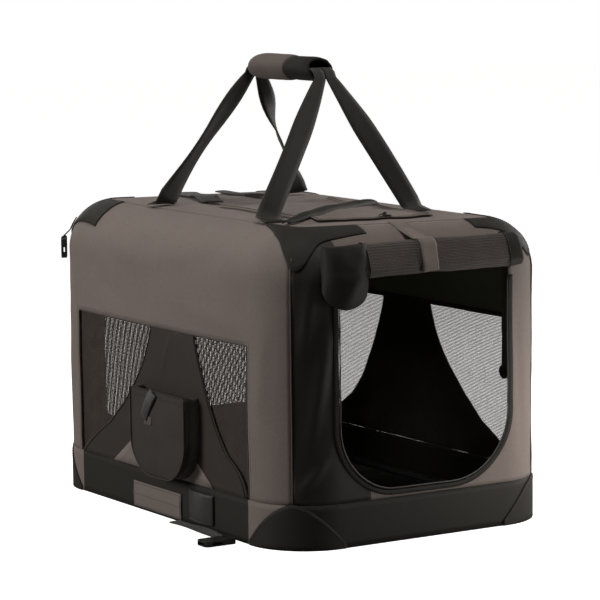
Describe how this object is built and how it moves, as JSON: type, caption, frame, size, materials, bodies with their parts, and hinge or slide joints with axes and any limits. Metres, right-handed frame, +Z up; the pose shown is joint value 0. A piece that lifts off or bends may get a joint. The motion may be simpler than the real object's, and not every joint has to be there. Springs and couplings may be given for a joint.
{
  "type": "soft folding pet crate",
  "caption": "Soft-sided pet crate with a steel-tube folding frame, mesh windows, rolled front door, side pouch and carry straps; the frame folds flat.",
  "frame": {"origin": "on the floor plane, under the middle of the whole part's bounding box, the floor strap and its buckle included", "axes": "+Z up; +Y from the front door towards the rear, along the crate's length; +X to the right as seen from the front"},
  "size_m": [0.5808, 0.7898, 0.7383],
  "materials": {
    "black_cloth": "matt woven polyester, black",
    "black_net": "open mesh netting, black",
    "black_webbing": "woven webbing, black",
    "buckle_plastic": "moulded plastic, black",
    "coated_steel": "dark powder-coated steel tube",
    "grey_cloth": "matt woven polyester, grey taupe",
    "mat_cloth": "fleece-faced padded mat, dark grey",
    "zinc": "die-cast zinc, dull"
  },
  "bodies": {
    "base": {"base_band": "black_cloth", "base_guard_front_left": "black_cloth", "base_guard_front_right": "black_cloth", "base_guard_rear_left": "black_cloth", "base_guard_rear_right": "black_cloth", "base_loop": "black_webbing", "base_patch": "grey_cloth", "base_ring": "coated_steel", "bell_foot_left": "grey_cloth", "bell_foot_right": "grey_cloth", "bell_panel_left": "black_cloth", "bell_panel_right": "black_cloth", "door_zip": "black_webbing", "floor_board": "black_cloth", "floor_buckle": "buckle_plastic", "floor_mat": "mat_cloth", "floor_strap": "black_webbing", "front_wall": "grey_cloth", "pouch_pull": "black_webbing", "rear_wall": "grey_cloth", "rear_window_net": "black_net", "side_pouch": "black_cloth", "side_wall_left": "grey_cloth", "side_wall_right": "grey_cloth", "window_net_left": "black_net", "window_net_right": "black_net"},
    "top": {"door_roll": "black_net", "door_tie": "grey_cloth", "grip_keeper": "black_webbing", "grip_wrap": "grey_cloth", "handle_strap_left": "black_webbing", "handle_strap_right": "black_webbing", "rear_tab": "black_webbing", "top_buckle": "buckle_plastic", "top_buckle_strap": "black_webbing", "top_cover": "grey_cloth", "top_guard_front_left": "black_cloth", "top_guard_front_right": "black_cloth", "top_guard_rear_left": "black_cloth", "top_guard_rear_right": "black_cloth", "top_hatch": "grey_cloth", "top_ring": "coated_steel", "top_strap": "black_webbing"},
    "front_lower": {"front_knee_rivet_left": "zinc", "front_knee_rivet_right": "zinc", "front_lower_frame": "coated_steel"},
    "front_upper": {"front_upper_frame": "coated_steel"},
    "front_zip_pull": {"front_zip_pull": "zinc"},
    "front_zip_slider": {"front_zip_slider": "zinc"},
    "rear_buckle": {"rear_buckle": "buckle_plastic"},
    "rear_lower": {"rear_knee_rivet_left": "zinc", "rear_knee_rivet_right": "zinc", "rear_lower_frame": "coated_steel"},
    "rear_upper": {"rear_upper_frame": "coated_steel"},
    "top_zip_pull": {"top_zip_pull": "zinc"},
    "top_zip_slider": {"top_zip_slider": "zinc"}
  },
  "joints": [
    {"name": "fold", "type": "hinge", "parent": "base", "child": "front_lower", "pos_m": [0.034, -0.326, 0.045], "axis": [-1, 0, 0], "range_deg": [0, 75], "deforming": ["front_wall", "rear_wall", "side_wall_left", "side_wall_right", "window_net_left", "window_net_right", "rear_window_net", "bell_panel_left", "bell_panel_right", "bell_foot_left", "bell_foot_right", "door_zip", "side_pouch", "pouch_pull"]},
    {"name": "front_knee", "type": "hinge", "parent": "front_lower", "child": "front_upper", "pos_m": [0.034, -0.326, 0.2395], "axis": [1, 0, 0], "range_deg": [0, 150]},
    {"name": "top_level", "type": "hinge", "parent": "front_upper", "child": "top", "pos_m": [0.034, -0.326, 0.434], "axis": [-1, 0, 0], "range_deg": [0, 75]},
    {"name": "rear_fold", "type": "hinge", "parent": "base", "child": "rear_lower", "pos_m": [0.034, 0.352, 0.045], "axis": [1, 0, 0], "range_deg": [0, 75]},
    {"name": "rear_knee", "type": "hinge", "parent": "rear_lower", "child": "rear_upper", "pos_m": [0.034, 0.352, 0.2395], "axis": [-1, 0, 0], "range_deg": [0, 150]},
    {"name": "front_zip", "type": "slide", "parent": "top", "child": "front_zip_slider", "axis": [0, 0, 1], "range_m": [-0.18, 0]},
    {"name": "front_pull", "type": "hinge", "parent": "front_zip_slider", "child": "front_zip_pull", "pos_m": [-0.126, -0.3748, 0.3803], "axis": [-1, 0, 0], "range_deg": [0, 170]},
    {"name": "top_zip", "type": "slide", "parent": "top", "child": "top_zip_slider", "axis": [0.9998, 0, -0.0177], "range_m": [-0.12, 0.08]},
    {"name": "top_pull", "type": "hinge", "parent": "top_zip_slider", "child": "top_zip_pull", "pos_m": [0.0433, -0.24475, 0.49632], "axis": [0, 1, 0], "range_deg": [0, 150]},
    {"name": "rear_buckle_swing", "type": "hinge", "parent": "top", "child": "rear_buckle", "pos_m": [-0.21344, 0.35076, 0.42567], "axis": [0.5299, 0.848, 0], "range_deg": [0, 60]}
  ],
  "couplings": [
    {"joint": "front_knee", "follows": "fold", "ratio": 2},
    {"joint": "top_level", "follows": "fold", "ratio": 1},
    {"joint": "rear_fold", "follows": "fold", "ratio": 1},
    {"joint": "rear_knee", "follows": "fold", "ratio": 2}
  ]
}
